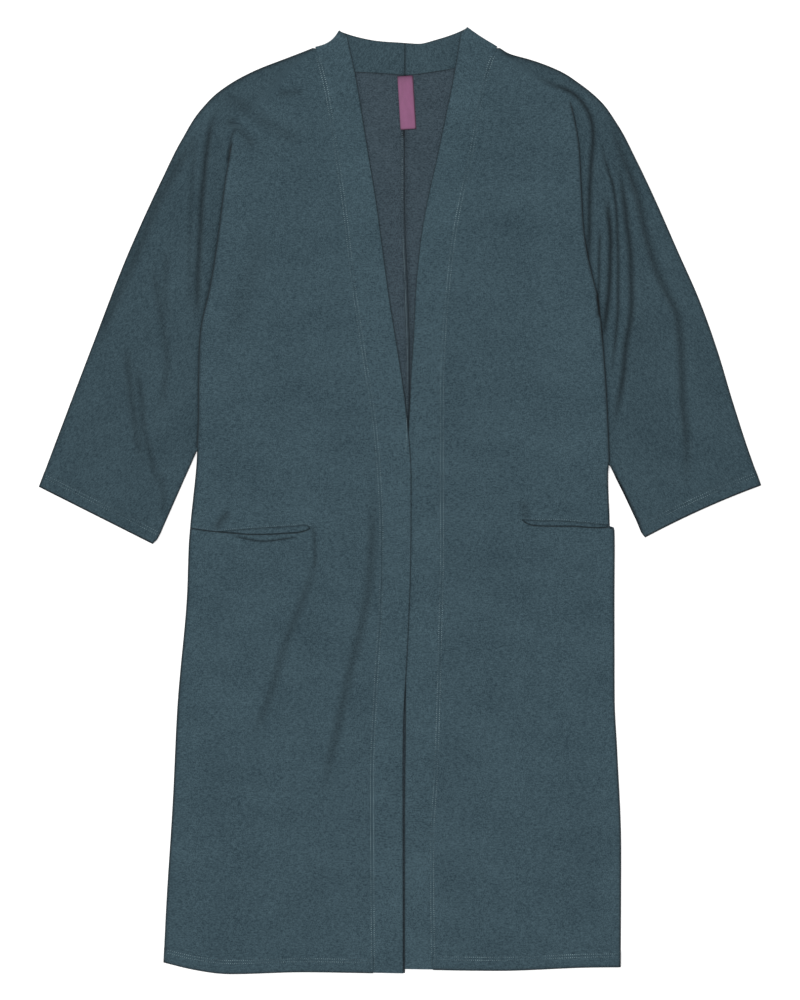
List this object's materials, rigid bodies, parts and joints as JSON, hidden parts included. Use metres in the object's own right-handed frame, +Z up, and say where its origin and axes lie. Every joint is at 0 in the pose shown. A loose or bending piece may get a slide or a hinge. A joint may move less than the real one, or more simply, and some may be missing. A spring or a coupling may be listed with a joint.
{
  "type": "open-front knit robe laid flat",
  "caption": "Knee-length open-front knit robe laid flat face up, with kimono sleeves, a neck and front band and slit side pockets.",
  "frame": {"origin": "centre of the bounding box in X and Y, at the floor that the robe lies on", "axes": "+X from the wearer's right sleeve to the left one, +Y from the hem to the neck, +Z up out of the front of the robe"},
  "size_m": [0.88, 1.154, 0.009],
  "materials": {
    "knit_front": "matte heathered knit",
    "knit_back": "matte heathered knit",
    "knit_band": "matte heathered knit",
    "knit_bag": "matte heathered knit",
    "label_satin": "satin ribbon"
  },
  "bodies": {
    "root": {"back_and_sleeve_right": "knit_back", "back_and_sleeve_left": "knit_back", "front_and_sleeve_right": "knit_front", "front_and_sleeve_left": "knit_front", "neck_band_right": "knit_band", "neck_band_left": "knit_band", "pocket_bag_right": "knit_bag", "pocket_bag_left": "knit_bag", "label": "label_satin"}
  },
  "joints": []
}
